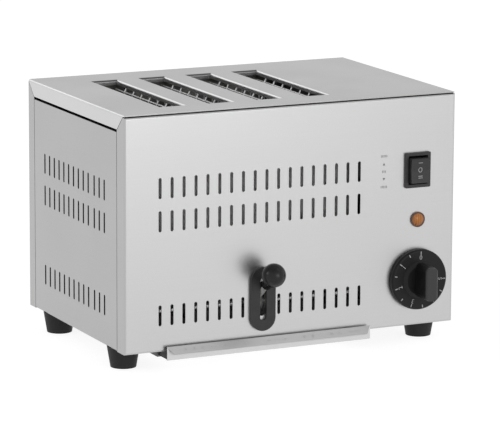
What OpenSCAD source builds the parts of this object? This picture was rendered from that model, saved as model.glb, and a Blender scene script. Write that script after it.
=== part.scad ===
// Four-slot catering toaster: folded steel casing, toasting chamber, bread lift worked by a ball lever,
// switch, pilot lamp, timer and a crumb tray that slides out under the front panel.
// Millimetres, +Z up, the front faces -Y. The origin lies on the floor under the middle of the whole part.

/* [Casing] */
// Width of the casing
body_w = 310; // [300:1:350]
// Depth of the casing from its front face to its rear face
body_d = 210; // [204:1:240]
// Height of the casing above its bottom edge
body_h = 202; // [194:1:230]
// Thickness of the casing sheet
sheet = 1; // [0.8:0.1:1.2]
// Outside radius of the casing's bends
bend_r = 1.8; // [1.6:0.1:4]
// Depth of the front panel's folded edges
front_fold = 15.5; // [12:0.5:16]
// Depth of the rear panel's folded edges
rear_fold = 14; // [12:0.5:16]
// Height of the cover's side folds
cover_fold = 13.5; // [10:0.5:14.5]
// Gap between the cover and the top edges of the front and rear panels
cover_gap = 0.8; // [0.4:0.1:1.2]
// How far the cover's front and rear edges lie behind the panels' faces
cover_setback = 1; // [0.5:0.1:1.6]
// Open gap between the cover's side folds and the side panels
side_gap = 2.4; // [1:0.1:4]
// Seam between mitred folds
seam = 0.7; // [0.3:0.1:1]

/* [Feet] */
// Height of the rubber feet
foot_h = 18; // [14:1:25]
// Diameter of a foot where it meets the casing
foot_top_d = 28; // [24:0.5:28]
// Diameter of a foot on the floor
foot_bottom_d = 22; // [18:0.5:24]
// Distance of a foot's axis from the casing's side
foot_inset = 14; // [14:0.5:14.5]
// Distance of a foot's axis from the casing's front and rear faces
foot_setback = 35; // [28:1:42]

/* [Bread slots] */
// Distance from the casing's left side to the toasting chamber
chamber_inset = 30; // [30:0.5:36]
// Width of the casing to the right of the toasting chamber
control_bay = 90; // [86:1:100]
// Width of a slot across its rounded mouth
slot_w = 26.5; // [25:0.5:28]
// Distance from the front face to the slots' front ends
slot_front = 28.5; // [28:0.5:30]
// Distance from the rear face to the slots' rear ends
slot_rear = 34.5; // [34:0.5:40]
// Radius of a slot's rounded mouth
mouth_r = 2; // [1.5:0.1:2.4]
// Depth of the rims folded down round a slot
rim_h = 4.5; // [3.5:0.5:6]

/* [Toasting chamber] */
// Thickness of the chamber plates, brackets and tray runners
plate_t = 1; // [0.8:0.1:1.2]
// Width left beside the outer heaters
chamber_margin = 5; // [4:0.5:6]
// Distance between a slot's ends and the chamber's end plates
chamber_gap = 3.5; // [3:0.5:4.5]
// Thickness of a mica heater board
board_t = 1; // [0.8:0.1:1.6]
// Depth of the heater boards' top edges below the cover's surface
board_drop = 12; // [10:0.5:20]
// Width of the heating ribbon
ribbon_w = 2; // [1.5:0.1:3]
// Thickness of the heating ribbon
ribbon_t = 0.3; // [0.2:0.1:0.5]
// Diameter of the guard wires
wire_d = 1.4; // [1.2:0.1:2]
// Distance of a guard's first upright wire behind the slot's front end
wire_start = 7.5; // [6:0.5:9]
// Distance of a guard's last upright wire in front of the slot's rear end
wire_end = 19.5; // [8:0.5:20]
// Depth of a guard's top wire below the cover's surface
wire_drop = 8.5; // [7:0.5:12]
// Width left between the guards of a slot
guard_gap = 20.4; // [19:0.2:21]

/* [Bread lift] */
// Height of the bread racks above the casing's bottom edge, when lowered
rack_z = 60; // [58:1:64]
// Width of a bread rack
rack_w = 14; // [10:0.5:16]
// Thickness of the lift's steel strips
strip_t = 2; // [1.5:0.1:2.5]
// Height of the lift's steel strips
strip_h = 10; // [8:0.5:11]
// Diameter of the rock shaft
shaft_d = 6; // [5:0.5:7]
// Distance of the rock shaft behind the front face
shaft_back = 14; // [13:0.5:15]
// Height of the rock shaft above the casing's bottom edge
shaft_z = 32; // [31:0.5:33]
// Length of a lift arm from the rock shaft to its pin
arm_r = 32; // [30:0.5:33]
// Angle of the lift arms below level at rest
arm_rest = 28; // [25:0.5:29]
// Diameter of a lift arm's pin
pin_d = 5; // [4:0.5:5.5]
// Diameter of the guide rods
rod_d = 6; // [5:0.5:7]

/* [Lever] */
// Diameter of the lever's ball
ball_d = 20.5; // [18:0.5:24]
// Distance of the ball's middle in front of the casing
ball_out = 22.5; // [21:0.5:30]
// Height of the ball's middle above the casing's bottom edge
ball_z = 61.5; // [60:0.5:63]
// Diameter of the lever's steel rod
lever_d = 5; // [4:0.1:5.2]
// Width of the lever's hub on the rock shaft
lever_hub_w = 8; // [6:0.5:12]
// Length of the ball's neck on the rod
ball_neck_l = 8; // [4:0.5:9]
// Width of the lever's cover plate
lever_plate_w = 23; // [20:0.5:23]
// Height of the lever's cover plate
lever_plate_h = 55; // [54:0.2:58]
// Thickness of the lever's cover plate
lever_plate_t = 3; // [2:0.5:4]
// Height of the cover plate's middle above the casing's bottom edge
lever_plate_z = 37; // [36:0.5:38]
// Width of the slot that the lever swings in
lever_slot_w = 6; // [5.6:0.1:8]
// Length of the slot in the cover plate
lever_slot_h = 37; // [36:0.5:40]
// How much shorter the steel panel's slot is at each end
lever_slot_step = 3.5; // [2:0.5:3.5]
// Distance of the lever to the right of the chamber's middle
lever_offset = 1.5; // [0:0.5:2]

/* [Controls] */
// Distance of the controls' middle line from the casing's right side
control_inset = 35.5; // [34:0.5:38]
// Height of the switch's middle above the casing's bottom edge
switch_z = 136.5; // [130:0.5:145]
// Width of the switch's frame
switch_w = 24.2; // [23.8:0.1:28]
// Height of the switch's frame
switch_h = 30.6; // [30:0.1:33]
// Width of the frame's border round the rocker's well
switch_border = 2.8; // [2.4:0.1:3]
// Distance of the switch's middle to the left of the controls' middle line
switch_offset = 1; // [0:0.5:2]
// Width of the rocker
rocker_w = 17.5; // [14:0.5:18]
// Height of the rocker
rocker_h = 21.5; // [18:0.5:22]
// How far the rocker's ends stand out of the frame
rocker_out = 5; // [3:0.5:6]
// Height of the pilot lamp's middle above the casing's bottom edge
lamp_z = 93; // [86:0.5:98]
// Diameter of the pilot lamp's lens
lamp_d = 13.4; // [12:0.2:16]
// Height of the timer's middle above the casing's bottom edge
timer_z = 41; // [38:0.5:46]
// Diameter of the timer knob's skirt
knob_d = 53; // [48:0.5:56]
// Height of the timer knob's skirt
skirt_h = 5.5; // [5:0.5:9]
// Height of the whole timer knob
knob_h = 28; // [24:0.5:30]
// Length of the knob's grip bar
grip_l = 30; // [26:0.5:34]
// Width of the knob's grip bar
grip_w = 11; // [9:0.5:13]
// Diameter of the timer's shaft
timer_shaft_d = 6; // [5:0.5:6.5]
// Width and height of the timer's housing
timer_w = 44; // [40:1:46]
// Depth of the timer's housing
timer_depth = 30; // [24:1:36]

/* [Crumb tray] */
// Thickness of the tray's sheet
tray_t = 0.8; // [0.6:0.1:1]
// Depth of the tray's floor below the casing's bottom edge
tray_drop = 7; // [5:0.5:8]
// Distance of the tray's front wall in front of the casing
tray_out = 4; // [3:0.5:16]
// Height of the tray's front wall above the casing's bottom edge
tray_front_h = 4.5; // [3:0.5:7]
// Width of the lip folded from the tray's front wall
lip_w = 8; // [6:0.5:10]
// Angle of the lip below level
lip_angle = 49; // [30:1:55]
// How far the tray's front wall reaches past its sides
tray_overhang = 1.5; // [1:0.1:2]
// Distance of the tray's middle to the right of the chamber's middle
tray_offset = 7.4; // [0:0.2:8]

/* [Vents] */
// Width of a vent slot
vent_w = 2.8; // [2:0.1:3.4]
// Height of a vent slot
vent_h = 17.8; // [14:0.2:20]
// Distance of the outermost vents on the front and the rear from the chamber's sides
vent_margin = 2.2; // [2:0.1:8]
// How far the right half of the front's lower row stands off
front_vent_step = 1; // [0:0.1:2]
// Distance between vent slots on the sides
side_vent_pitch = 10.65; // [9:0.05:11]
// Distance of the sides' last vents from the rear face
side_vent_rear = 38; // [30:0.5:40]
// How much farther the sides' first vents stand off from the others
side_vent_step = 2.2; // [0:0.1:3]
// Height of the front's upper row of vents
front_vent_top = 139; // [136:0.5:142]
// Height of the front's middle row of vents
front_vent_middle = 111; // [108:0.5:114]
// Height of the sides' upper row of vents
side_vent_top = 133; // [128:0.5:140]
// Height of the sides' middle row of vents
side_vent_middle = 105; // [98:0.5:108]
// Height of the front's lower row of vents
front_vent_bottom = 31; // [29:0.5:34]
// Height of the sides' lower row of vents
side_vent_bottom = 34.5; // [29:0.5:38]

/* [Cord inlet] */
// Bore of the cord gland
gland_bore = 8; // [6:0.5:10]
// Diameter of the gland's outer flange
gland_flange_d = 22; // [20:0.5:26]
// Thickness of the gland's outer flange
gland_flange_t = 4; // [3:0.5:6]
// Height of the gland above the casing's bottom edge
gland_z = 34; // [28:1:45]

/* [Clearances] */
// Radial clearance of a shaft or pin that turns
run_clear = 0.05; // [0.03:0.01:0.1]
// Radial clearance of a fixed pin, screw or stud
fit_clear = 0.05; // [0.02:0.01:0.1]
// Clearance between parts that slide past each other
slide_clear = 0.3; // [0.2:0.05:0.5]
// Clearance round parts that pass through a plate
pass_clear = 0.5; // [0.3:0.1:0.8]
// Height clearance of a lift pin in its slot, which takes up the arm's arc
arc_clear = 0.45; // [0.35:0.05:0.6]

/* [Hidden] */
$fn = 48;
slots = 4;
heaters = slots + 1;
ribbon_turns = 12;
guard_wires = 8;
front_vents = 18;
covered_vents = 2;
side_vents = 13;
side_first_vents = 3;
eps = 0.01;
big = 1000;

// Places along the depth, measured back from the front face
ball_r = ball_d / 2;
front_reach = ball_out + ball_r;
rear_reach = gland_flange_t;
front_y = front_reach - (front_reach + body_d + rear_reach) / 2;
slot_l = body_d - slot_front - slot_rear;
slot_back = slot_front + slot_l;
slot_mid = (slot_front + slot_back) / 2;
front_plate_in = slot_front - chamber_gap;
rear_plate_in = slot_back + chamber_gap;
front_plate_out = front_plate_in - plate_t;
rear_plate_out = rear_plate_in + plate_t;
bar_gap = 2;
front_bar_y = front_plate_out - bar_gap - strip_t;
rear_bar_y = rear_plate_out + bar_gap;
wire_pitch = (slot_l - wire_start - wire_end) / (guard_wires - 1);
side_vent_mid = body_d - side_vent_rear - side_vent_step - (side_vents - 1) / 2 * side_vent_pitch;

// Places across the width
chamber_w = body_w - chamber_inset - control_bay;
slot_pitch = (chamber_w - 2 * chamber_margin) / slots;
chamber_x = -body_w / 2 + chamber_inset + chamber_w / 2;
control_x = body_w / 2 - control_inset;
switch_x = control_x - switch_offset;
lever_x = chamber_x + lever_offset;
tray_x = chamber_x + tray_offset;
front_vent_pitch = (chamber_w - 2 * vent_margin) / (front_vents - 1);
shield_x = chamber_w / 2;
arm_t = 3;
arm_x = shield_x + 2;
rail_x = arm_x + arm_t + slide_clear * 2;
bush_wall = 3;
bush_r = rod_d / 2 + bush_wall;
rod_x = rail_x + strip_t + bush_r - 1;
rod_front = 31.5;
rod_rear = 25.5;
rod_ys = [slot_front + rod_front, slot_back - rod_rear];
shaft_l = 2 * (arm_x + arm_t + 1);

// Heights above the casing's bottom edge
panel_h = body_h - sheet - cover_gap;
side_panel_h = body_h - cover_fold - side_gap;
base_z = sheet;
base_top = base_z + sheet;
chamber_top = body_h - sheet;
lift_travel = 2 * arm_r * sin(arm_rest);
strip_z = rack_z - plate_t - strip_h;
board_lift = 4;
board_z = rack_z + board_lift;
board_h = body_h - board_drop - board_z;
guard_reach = 10;
guard_bottom = rack_z - guard_reach;
guard_top = body_h - wire_drop;
rod_spare = 30;
rod_top = rack_z + lift_travel + rod_spare;
mitre_front = front_fold - cover_fold;
mitre_rear = rear_fold - cover_fold;

function slot_x(i) = chamber_x + (i - (slots + 1) / 2) * slot_pitch;
function heater_x(i) = chamber_x + (i - (heaters + 1) / 2) * slot_pitch;
function lever_angle() = atan2(ball_z - shaft_z, shaft_back + ball_out);
function lever_length() = norm([ball_z - shaft_z, shaft_back + ball_out]);

STEEL = [0.78, 0.78, 0.77];
DARK_STEEL = [0.55, 0.55, 0.55];
BRIGHT = [0.86, 0.86, 0.86];
BLACK = [0.09, 0.09, 0.09];
GRAPHITE = [0.2, 0.2, 0.21];
MICA = [0.72, 0.66, 0.5];
AMBER = [0.78, 0.4, 0.12];

// Shared shapes

// Casing coordinates: y runs back from the front face, z up from the bottom edge
module casing() {
    translate([0, front_y, foot_h]) children();
}

// Turns a rear panel's parts so that they run forward from the rear face
module from_rear() {
    translate([0, body_d, 0]) mirror([0, 1, 0]) children();
}

// Extrudes a side view (y, z) across the width, from x upwards
module across(x, width) {
    translate([x, 0, 0]) rotate([90, 0, 90]) linear_extrude(width) children();
}

// Extrudes a front view (x, z) back from depth y
module back_from(y, depth) {
    translate([0, y + depth, 0]) rotate([90, 0, 0]) linear_extrude(depth) children();
}

// Rectangle whose two front corners are round
module round_front(width, depth, r) {
    translate([-width / 2, r]) square([width, depth - r]);
    translate([-width / 2 + r, 0]) square([width - 2 * r, depth]);
    for (side = [-1, 1]) translate([side * (width / 2 - r), r]) circle(r);
}

// Upright slot with round ends
module obround(width, height) {
    square([width, height - width], center = true);
    for (end = [-1, 1]) translate([0, end * (height - width) / 2]) circle(width / 2);
}

// Rectangle with four round corners
module round_rect(width, height, r) {
    square([width - 2 * r, height], center = true);
    square([width, height - 2 * r], center = true);
    for (i = [-1, 1], j = [-1, 1]) translate([i * (width / 2 - r), j * (height / 2 - r)]) circle(r);
}

// Straight piece of wire along z
module wire(length) {
    cylinder(h = length, d = wire_d, $fn = 8);
}

// Folded panel

// Block with round front edges, drawn in from its outside by inset
module panel_block(depth, inset) {
    width = body_w - 2 * inset;
    height = panel_h - 2 * inset;
    r = bend_r - inset;
    intersection() {
        translate([0, inset, inset]) linear_extrude(height) round_front(width, depth, r);
        translate([width / 2, inset, panel_h / 2]) rotate([0, -90, 0])
            linear_extrude(width) round_front(height, depth, r);
    }
}

// Side view of what lies above a mitre that starts back from the panel's face
module above_mitre(start, fold, drop) {
    reach = fold + 1;
    polygon([
        [start, body_h - drop],
        [reach, body_h - drop - (reach - start)],
        [reach, body_h + 1],
        [start, body_h + 1]
    ]);
}

// Face with folds on its four edges, the side folds mitred at the top
module folded_panel(fold, mitre_start) {
    difference() {
        panel_block(fold, 0);
        panel_block(fold + 1, sheet);
        for (x = [-body_w / 2 - 1, body_w / 2 - bend_r])
            across(x, bend_r + 1) above_mitre(mitre_start, fold, seam);
        translate([-big / 2, fold, -1]) cube([big, big, big]);
    }
}

// Row of vent slots centred on x = 0, leaving out some in the middle and moving those after the first by step
module vent_row(count, pitch, skip = 0, first = 0, step = 0) {
    for (i = [0 : count - 1]) {
        place = i - (count - 1) / 2;
        shift = i < first ? 0 : step;
        if (abs(place) >= skip / 2) translate([place * pitch + shift, 0]) obround(vent_w, vent_h);
    }
}

module front_cuts() {
    for (z = [front_vent_top, front_vent_middle])
        translate([chamber_x, z]) vent_row(front_vents, front_vent_pitch);
    translate([chamber_x, front_vent_bottom])
        vent_row(front_vents, front_vent_pitch, covered_vents, front_vents / 2, front_vent_step);
    translate([lever_x, lever_plate_z]) obround(lever_slot_w, lever_slot_h - 2 * lever_slot_step);
    translate([switch_x, switch_z]) square(switch_body() + [2, 2] * slide_clear, center = true);
    translate([control_x, lamp_z]) circle(lamp_body_d() / 2 + slide_clear);
    translate([control_x, timer_z]) circle(timer_neck_d() / 2 + slide_clear);
}

module front_panel() {
    color(STEEL) casing() difference() {
        folded_panel(front_fold, mitre_front);
        back_from(-1, 1 + sheet + eps) front_cuts();
    }
}

module rear_cuts() {
    for (z = [side_vent_top, side_vent_middle])
        translate([chamber_x, z]) vent_row(front_vents, front_vent_pitch);
    translate([control_x, gland_z]) circle(gland_body_d() / 2 + slide_clear);
}

module rear_panel() {
    color(STEEL) casing() difference() {
        from_rear() folded_panel(rear_fold, mitre_rear);
        back_from(body_d - sheet - eps, 2) rear_cuts();
        screw_places() circle_cut();
    }
}

// Side panel flush with the folds, with a lip under the base and a tongue behind each fold
module side_panel() {
    tuck = 9;
    lap = 4;
    front = front_fold + seam;
    back = body_d - rear_fold - seam;
    tongue_z = bend_r + seam;
    difference() {
        union() {
            translate([body_w / 2, front, 0]) rotate([-90, 0, 0]) mirror([0, 1, 0])
                linear_extrude(back - front) side_profile();
            for (ends = [[tuck, front + lap], [back - lap, body_d - tuck]])
                translate([body_w / 2 - 2 * sheet, ends[0], tongue_z])
                    cube([sheet, ends[1] - ends[0], side_panel_h - tongue_z]);
        }
        for (z = [side_vent_top, side_vent_middle, side_vent_bottom])
            across(body_w / 2 - sheet - 1, sheet + 2) translate([side_vent_mid, z])
                vent_row(side_vents, side_vent_pitch, first = side_first_vents, step = side_vent_step);
        foot_places() circle_cut();
    }
}

// Upright of the side panel with its lip turned in at the bottom
module side_profile() {
    lip = 20;
    r = bend_r - sheet;
    translate([-sheet, bend_r]) square([sheet, side_panel_h - bend_r]);
    translate([-lip, 0]) square([lip - bend_r, sheet]);
    translate([-bend_r, bend_r]) intersection() {
        difference() {
            circle(bend_r);
            circle(r);
        }
        translate([0, -bend_r]) square(bend_r);
    }
}

module right_side_panel() {
    color(STEEL) casing() side_panel();
}

module left_side_panel() {
    color(STEEL) casing() mirror([1, 0, 0]) side_panel();
}

// Top cover

// Side view of a slot's opening, flared at the top by a round mouth
module slot_mouth(width) {
    translate([-width / 2, -rim_h - 1]) square([width, rim_h + 2]);
    for (side = [-1, 1]) difference() {
        translate([side * (width + mouth_r) / 2, (1 - mouth_r) / 2])
            square([mouth_r, mouth_r + 1], center = true);
        translate([side * (width / 2 + mouth_r), -mouth_r]) circle(mouth_r);
    }
}

module slot_opening() {
    intersection() {
        back_from(-slot_l / 2, slot_l) slot_mouth(slot_w - 2 * mouth_r);
        across(-slot_w / 2, slot_w) slot_mouth(slot_l - 2 * mouth_r);
    }
}

module slot_rim() {
    width = slot_w - 2 * mouth_r + 2 * sheet;
    length = slot_l - 2 * mouth_r + 2 * sheet;
    translate([-width / 2, -length / 2, -rim_h]) cube([width, length, rim_h]);
}

// Side view of what a mitre cuts from the end of a cover fold
module below_mitre(start) {
    polygon([
        [-1, body_h - sheet],
        [start + sheet, body_h - sheet],
        [start + cover_fold + 1, body_h - cover_fold - 1],
        [-1, body_h - cover_fold - 1]
    ]);
}

module top_cover() {
    color(STEEL) casing() difference() {
        union() {
            translate([0, cover_setback, body_h]) rotate([-90, 0, 0])
                linear_extrude(body_d - 2 * cover_setback) difference() {
                    round_front(body_w, cover_fold, bend_r);
                    translate([0, sheet]) round_front(body_w - 2 * sheet, cover_fold + 1, bend_r - sheet);
                }
            for (i = [1 : slots]) translate([slot_x(i), slot_mid, body_h]) slot_rim();
        }
        for (i = [1 : slots]) translate([slot_x(i), slot_mid, body_h]) slot_opening();
        across(-big / 2, big) below_mitre(mitre_front);
        from_rear() across(-big / 2, big) below_mitre(mitre_rear);
    }
}

// Base

// Rests on the lips of the four panels, open over the crumb tray
module base_plate() {
    margin = 8;
    inset = bend_r + seam;
    left = max(chamber_x - shield_x + margin, tray_x - runner_in);
    right = min(chamber_x + shield_x - margin, tray_x + runner_in);
    color(DARK_STEEL) casing() difference() {
        translate([-body_w / 2 + inset, inset, base_z])
            cube([body_w - 2 * inset, body_d - 2 * inset, sheet]);
        translate([left, front_plate_in + margin, 0])
            cube([right - left, rear_plate_in - front_plate_in - 2 * margin, base_top + 1]);
        for (side = [-1, 1], y = rod_ys)
            translate([chamber_x + side * rod_x, y, 0])
                cylinder(h = base_top + 1, d = rod_d + 2 * fit_clear);
        foot_places() circle_cut();
        screw_places() circle_cut();
    }
}

screw_d = 4;
screw_head_d = 7.6;
screw_head_taper = 2;
screw_head_h = 2.2;
screw_spare = 3;
screw_inset = 20;
nut_d = 8;
nut_h = 3.2;
foot_recess_h = 9;

// Screw with its head below z = 0 and its shank reaching up by length
module screw(length) {
    translate([0, 0, -screw_head_h])
        cylinder(h = screw_head_h, d1 = screw_head_d - screw_head_taper, d2 = screw_head_d);
    translate([0, 0, -1]) cylinder(h = length + 1, d = screw_d);
}

module circle_cut() {
    translate([0, 0, -1]) cylinder(h = base_top + 2, d = screw_d + 2 * fit_clear);
}

module foot_places() {
    for (x = [-1, 1], y = [foot_setback, body_d - foot_setback])
        translate([x * (body_w / 2 - foot_inset), y, 0]) children();
}

// Screws that hold the base to the rear panel's lip
module screw_places() {
    reach = body_w / 2 - screw_inset;
    for (place = [-1, -1 / 3, 1 / 3, 1]) translate([place * reach, body_d - rear_fold / 2, 0]) children();
}

module casing_screws() {
    color(BRIGHT) casing() screw_places() screw(base_top + screw_spare);
}

// Foot with a recess for its screw
module foot(x, y) {
    color(BLACK) casing() translate([x * (body_w / 2 - foot_inset), y, -foot_h]) difference() {
        cylinder(h = foot_h, d1 = foot_bottom_d, d2 = foot_top_d);
        translate([0, 0, -1]) cylinder(h = foot_recess_h + 1, d = screw_head_d + 4 * pass_clear);
        translate([0, 0, -1]) cylinder(h = foot_h + 2, d = screw_d + 2 * fit_clear);
    }
}

module foot_screws() {
    reach = foot_h - foot_recess_h + base_top;
    color(BRIGHT) casing() foot_places() translate([0, 0, -foot_h + foot_recess_h]) {
        screw(reach + nut_h + 1);
        translate([0, 0, reach]) cylinder(h = nut_h, d = nut_d, $fn = 6);
    }
}

// Toasting chamber

// Height and end of a board's tabs, at the bottom and the top
tab_h = 8;
function tab_zs() = [board_z, board_z + board_h - tab_h];
function guard_zs() = [guard_bottom + wire_d, (guard_bottom + guard_top) / 2, guard_top];

// Flat end plate with the ways through it for racks, boards and guard wires
module end_plate() {
    flange = 6;
    rack_way_h = strip_h + plate_t + lift_travel + 2 * slide_clear;
    half = shield_x + plate_t;
    difference() {
        union() {
            translate([chamber_x - half, 0, base_top]) cube([2 * half, plate_t, chamber_top - base_top]);
            for (z = [base_top, chamber_top - plate_t])
                translate([chamber_x - half, -flange, z]) cube([2 * half, flange + eps, plate_t]);
        }
        for (i = [1 : slots]) {
            translate([slot_x(i) - strip_t / 2 - pass_clear, -1, strip_z - slide_clear])
                cube([strip_t + 2 * pass_clear, plate_t + 2, rack_way_h]);
            for (side = [-1, 1], z = guard_zs())
                translate([slot_x(i) + side * guard_x(), -1, z]) rotate([-90, 0, 0])
                    cylinder(h = plate_t + 2, d = wire_d + 2 * slide_clear);
        }
        for (i = [1 : heaters], z = tab_zs())
            translate([heater_x(i) - board_t / 2 - slide_clear, -1, z - slide_clear])
                cube([board_t + 2 * slide_clear, plate_t + 2, tab_h + 2 * slide_clear]);
    }
}

module chamber_front_plate() {
    color(DARK_STEEL) casing() translate([0, front_plate_out, 0]) end_plate();
}

module chamber_rear_plate() {
    color(DARK_STEEL) casing() translate([0, rear_plate_out, 0]) mirror([0, 1, 0]) end_plate();
}

// Heat shield with the ears that hold the tops of the guide rods
module heat_shield() {
    ear_w = 2 * bush_r;
    ear_t = 2;
    ear_z = rod_top - ear_t - 1;
    difference() {
        union() {
            translate([shield_x, front_plate_in, base_top])
                cube([plate_t, rear_plate_in - front_plate_in, chamber_top - base_top - rim_h]);
            for (y = rod_ys) translate([shield_x, y - ear_w / 2, ear_z])
                cube([rod_x - shield_x, ear_w, ear_t]);
            for (y = rod_ys) translate([rod_x, y, ear_z]) cylinder(h = ear_t, d = ear_w);
        }
        for (y = rod_ys) translate([rod_x, y, ear_z - 1])
            cylinder(h = ear_t + 2, d = rod_d + 2 * fit_clear);
    }
}

module right_heat_shield() {
    color(DARK_STEEL) casing() translate([chamber_x, 0, 0]) heat_shield();
}

module left_heat_shield() {
    color(DARK_STEEL) casing() translate([chamber_x, 0, 0]) mirror([1, 0, 0]) heat_shield();
}

board_gap = 6;
board_front = front_plate_in + board_gap;
board_back = rear_plate_in - board_gap;

// Mica board held by its tabs in the end plates
module heater_board(i) {
    color(MICA) casing() translate([heater_x(i) - board_t / 2, 0, 0]) {
        translate([0, board_front, board_z]) cube([board_t, board_back - board_front, board_h]);
        for (z = tab_zs()) translate([0, front_plate_out, z])
            cube([board_t, rear_plate_out - front_plate_out, tab_h]);
    }
}

// Ribbon wound round a board: level on one face, stepping up on the other
module heater_ribbon(i) {
    margin = 3;
    start = board_z + tab_h + margin;
    step = (board_h - 2 * (tab_h + margin) - ribbon_w) / ribbon_turns;
    edge = board_t / 2;
    color(BRIGHT) casing() translate([heater_x(i), 0, start]) union() {
        for (turn = [0 : ribbon_turns]) translate([0, 0, turn * step]) {
            translate([edge, board_front - ribbon_t, 0])
                cube([ribbon_t, board_back - board_front + 2 * ribbon_t, ribbon_w]);
            if (turn < ribbon_turns) {
                across(-edge - ribbon_t, ribbon_t) polygon([
                    [board_back + ribbon_t, 0],
                    [board_back + ribbon_t, ribbon_w],
                    [board_front - ribbon_t, step + ribbon_w],
                    [board_front - ribbon_t, step]
                ]);
                translate([-edge - ribbon_t, board_back, 0])
                    cube([board_t + 2 * ribbon_t, ribbon_t, ribbon_w]);
                translate([-edge - ribbon_t, board_front - ribbon_t, step])
                    cube([board_t + 2 * ribbon_t, ribbon_t, ribbon_w]);
            }
        }
    }
}

function guard_x() = (guard_gap + wire_d) / 2 + wire_d * 0.6;

// Guard of upright wires, flared at the top, welded to level wires
module wire_guard(i, side) {
    flare = [wire_d * 1.7, 5];
    upright_x = (guard_gap + wire_d) / 2;
    color(BRIGHT) casing() translate([slot_x(i), 0, 0]) mirror_side(side) {
        for (k = [0 : guard_wires - 1])
            translate([upright_x, slot_front + wire_start + k * wire_pitch, guard_bottom]) {
                wire(guard_top - guard_bottom);
                translate([0, 0, guard_top - guard_bottom - wire_d / 4])
                    rotate([0, atan2(flare[0], flare[1]), 0]) wire(norm(flare));
            }
        for (z = guard_zs())
            translate([guard_x(), front_plate_out, z]) rotate([-90, 0, 0])
                cylinder(h = rear_plate_out - front_plate_out, d = wire_d, $fn = 8);
    }
}

// Mirrors a right-hand piece for the left side
module mirror_side(side) {
    mirror([side < 0 ? 1 : 0, 0, 0]) children();
}

// Bread lift

// Slotted strip on a blade that runs in the end plates
module bread_rack(i) {
    length = board_back - board_front;
    holes = 6;
    hole_pitch = length / holes;
    hole_x = (rack_w + strip_t) / 4;
    color(BRIGHT) casing() translate([slot_x(i), 0, 0]) {
        difference() {
            translate([-rack_w / 2, board_front, rack_z - plate_t]) cube([rack_w, length, plate_t]);
            for (k = [0 : holes - 1], side = [-1, 1])
                translate([side * hole_x, board_front + (k + 0.5) * hole_pitch, rack_z - plate_t - 1])
                    linear_extrude(plate_t + 2) obround(rack_w / 6, hole_pitch * 0.6);
        }
        translate([-strip_t / 2, front_bar_y + strip_t, strip_z])
            cube([strip_t, rear_bar_y - front_bar_y - strip_t, strip_h]);
    }
}

bar_half = rail_x + strip_t;

module lift_front_bar() {
    color(DARK_STEEL) casing() translate([chamber_x - bar_half, front_bar_y, strip_z])
        cube([2 * bar_half, strip_t, strip_h]);
}

module lift_rear_bar() {
    color(DARK_STEEL) casing() translate([chamber_x - bar_half, rear_bar_y, strip_z])
        cube([2 * bar_half, strip_t, strip_h]);
}

// Lift pin at rest, and how far its arc carries it along the slot
function pin_y() = shaft_back + arm_r * cos(arm_rest);
function pin_z() = shaft_z - arm_r * sin(arm_rest);
function pin_sweep() = arm_r - arm_r * cos(arm_rest);

// Side view of a rail with the slotted tongue that the lift arm's pin raises
module rail_view() {
    tongue_wall = 5;
    tongue_w = pin_d + pin_sweep() + 2 * tongue_wall;
    tongue_mid = pin_y() + pin_sweep() / 2;
    difference() {
        union() {
            translate([front_bar_y + strip_t, strip_z])
                square([rear_bar_y - front_bar_y - strip_t, strip_h]);
            translate([tongue_mid - tongue_w / 2, pin_z() - pin_d])
                square([tongue_w, strip_z + strip_h / 2 - pin_z() + pin_d]);
        }
        translate([tongue_mid, pin_z()]) rotate(90)
            obround(pin_d + 2 * arc_clear, pin_d + pin_sweep() + 2 * arc_clear + 1);
    }
}

module lift_rail() {
    difference() {
        union() {
            across(rail_x, strip_t) rail_view();
            for (y = rod_ys) translate([rod_x, y, strip_z]) cylinder(h = strip_h, r = bush_r);
        }
        for (y = rod_ys) translate([rod_x, y, strip_z - 1])
            cylinder(h = strip_h + 2, d = rod_d + 2 * run_clear);
    }
}

module lift_right_rail() {
    color(DARK_STEEL) casing() translate([chamber_x, 0, 0]) lift_rail();
}

module lift_left_rail() {
    color(DARK_STEEL) casing() translate([chamber_x, 0, 0]) mirror([1, 0, 0]) lift_rail();
}

module guide_rods() {
    color(BRIGHT) casing() for (side = [-1, 1], y = rod_ys)
        translate([chamber_x + side * rod_x, y, base_z]) cylinder(h = rod_top - base_z, d = rod_d);
}

module rock_shaft() {
    color(BRIGHT) casing() translate([chamber_x - shaft_l / 2, shaft_back, shaft_z])
        rotate([0, 90, 0]) cylinder(h = shaft_l, d = shaft_d);
}

// Two brackets on the chamber's front plate, each with an ear that the shaft turns in
module shaft_bearings() {
    ear_t = 3;
    ear_wall = 5;
    ear_r = shaft_d / 2 + ear_wall;
    foot_w = 14;
    color(DARK_STEEL) casing() for (side = [-1, 1])
        translate([chamber_x + side * slot_pitch * 1.5 - ear_t / 2, 0, shaft_z]) difference() {
            union() {
                rotate([0, 90, 0]) translate([0, shaft_back, 0]) cylinder(h = ear_t, r = ear_r);
                translate([0, shaft_back, -ear_r]) cube([ear_t, front_plate_out - shaft_back, 2 * ear_r]);
                translate([(ear_t - foot_w) / 2, front_plate_out - plate_t, -ear_r])
                    cube([foot_w, plate_t, 2 * ear_r]);
            }
            translate([-1, shaft_back, 0]) rotate([0, 90, 0])
                cylinder(h = ear_t + 2, d = shaft_d + 2 * run_clear);
        }
}

// Side view of an arm from a hub to a round end
module arm_view(length, hub_r, end_r, height) {
    circle(hub_r);
    translate([0, -height / 2]) square([length, height]);
    translate([length, 0]) circle(end_r);
}

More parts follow.
